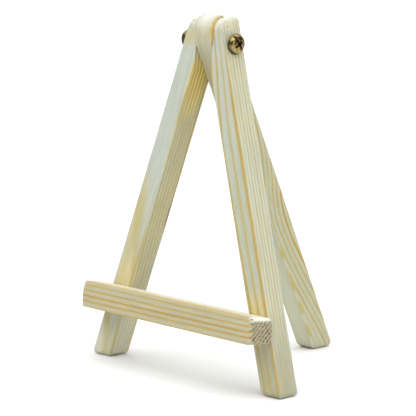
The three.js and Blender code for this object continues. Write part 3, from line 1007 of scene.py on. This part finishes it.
def nail_steel():
    """Drawn steel wire, dull in patches."""
    g = Graph("nail_steel_looks")
    place = g.node("ShaderNodeTexCoord").outputs["Object"]
    rubs = g.noise(place, 2600.0, 4.0, 0.7)
    return g.shade(
        Base_Color=g.mix(rubs, (0.30, 0.30, 0.31), (0.56, 0.55, 0.53)),
        Metallic=1.0,
        Roughness=g.math("MULTIPLY_ADD", rubs, 0.3, 0.25),
        Normal=g.bump(rubs, 0.00002, 0.6),
    )


def matt(name, colour):
    """A plain matt material for the studio."""
    return Graph(name).shade(Base_Color=(*colour, 1), Roughness=0.9, Specular_IOR_Level=0.1)


# ---- the object ----

front_leg(-1, "left_front_leg", 3, left_leg_pine())
front_leg(1, "right_front_leg", 5, right_leg_pine())
rear_leg("rear_leg", 8, rear_leg_pine())
ledge("ledge_bar", 11, ledge_pine())

zinc = yellow_zinc()
screw_head(zinc)
screw_thread(zinc)
hex_nut(zinc)
steel = nail_steel()
for nail_name in ("left_nail", "right_nail"):
    nail = frame["nodes"][nail_name]
    nail.data.materials.clear()
    nail.data.materials.append(steel)


# ---- floor, light and camera ----

CENTRE = (cad_low + cad_high) / 2
FLOOR_WHITE = (0.66, 0.66, 0.66)
CARD_BLACK = (0.02, 0.02, 0.02)

# The camera, as solved from the photo's view: its place in metres, and where it looks from, in degrees.
CAMERA_PLACE = Vector((0.73129, PIVOT_Y * MM - 0.69961, 0.24767))
CAMERA_AZIMUTH = 46.39
CAMERA_ELEVATION = 10.145
FOCAL_LENGTH = 221.2
SENSOR_WIDTH = 36.0


def direction(azimuth, elevation):
    """Points from the object to an angle round it and above it; azimuth 0 is the front, 90 the right."""
    a = math.radians(azimuth)
    e = math.radians(elevation)
    return Vector((math.sin(a) * math.cos(e), -math.cos(a) * math.cos(e), math.sin(e)))


def plane(name, size, material, place):
    """A square sheet of the studio, level until it is turned."""
    mesh = bpy.data.meshes.new(name)
    half = size / 2
    corners = [(-half, -half, 0), (half, -half, 0), (half, half, 0), (-half, half, 0)]
    mesh.from_pydata(corners, [], [(0, 1, 2, 3)])
    mesh.materials.append(material)
    sheet = bpy.data.objects.new(name, mesh)
    sheet.location = place
    bpy.context.scene.collection.objects.link(sheet)
    return sheet


def soft_sun(name, azimuth, elevation, spread, strength):
    """An even soft light from one side of the sky; strength is what it adds to white paper that faces it."""
    towards = direction(azimuth, elevation)
    data = bpy.data.lights.new(name, "SUN")
    data.angle = math.radians(spread)
    data.energy = strength * math.pi
    light = bpy.data.objects.new(name, data)
    light.rotation_euler = (-towards).to_track_quat("-Z", "Y").to_euler()
    light.location = CENTRE + towards
    bpy.context.scene.collection.objects.link(light)


def glossy_card(name, azimuth, distance, size):
    """An upright black card that only shiny surfaces see, for the dark side of their reflections."""
    towards = direction(azimuth, 0)
    card = plane(name, size, matt(name, CARD_BLACK), CENTRE + towards * distance)
    card.rotation_euler = (-towards).to_track_quat("Z", "Y").to_euler()
    for ray in ("camera", "diffuse", "transmission", "volume_scatter", "shadow"):
        setattr(card, "visible_" + ray, False)


def white_world(as_light, as_seen):
    """Even white surroundings, of one strength as light and another where the camera sees them."""
    world = bpy.data.worlds.new("studio")
    world.use_nodes = True
    nodes = world.node_tree.nodes
    links = world.node_tree.links
    background = nodes["Background"]
    background.inputs["Color"].default_value = (1, 1, 1, 1)
    rays = nodes.new("ShaderNodeLightPath")
    level = nodes.new("ShaderNodeMapRange")
    level.inputs["To Min"].default_value = as_light
    level.inputs["To Max"].default_value = as_seen
    links.new(rays.outputs["Is Camera Ray"], level.inputs["Value"])
    links.new(level.outputs["Result"], background.inputs["Strength"])
    bpy.context.scene.world = world


def photo_camera():
    """The camera at the photograph's viewing angle."""
    data = bpy.data.cameras.new("camera")
    data.lens = FOCAL_LENGTH
    data.sensor_width = SENSOR_WIDTH
    camera = bpy.data.objects.new("camera", data)
    camera.location = CAMERA_PLACE
    look = -direction(CAMERA_AZIMUTH, CAMERA_ELEVATION)
    camera.rotation_euler = look.to_track_quat("-Z", "Y").to_euler()
    bpy.context.scene.collection.objects.link(camera)
    bpy.context.scene.camera = camera


plane("floor", 6.0, matt("floor_white", FLOOR_WHITE), (0, 0, 0))
soft_sun("overhead", azimuth=10, elevation=78, spread=90, strength=1.12)
soft_sun("side", azimuth=105, elevation=20, spread=60, strength=0.2)
for card_azimuth in (-50, 40, 130):
    glossy_card("dark_card", card_azimuth, distance=0.75, size=0.9)
white_world(as_light=0.8, as_seen=1.0)
bpy.context.scene.view_settings.view_transform = "Standard"
photo_camera()
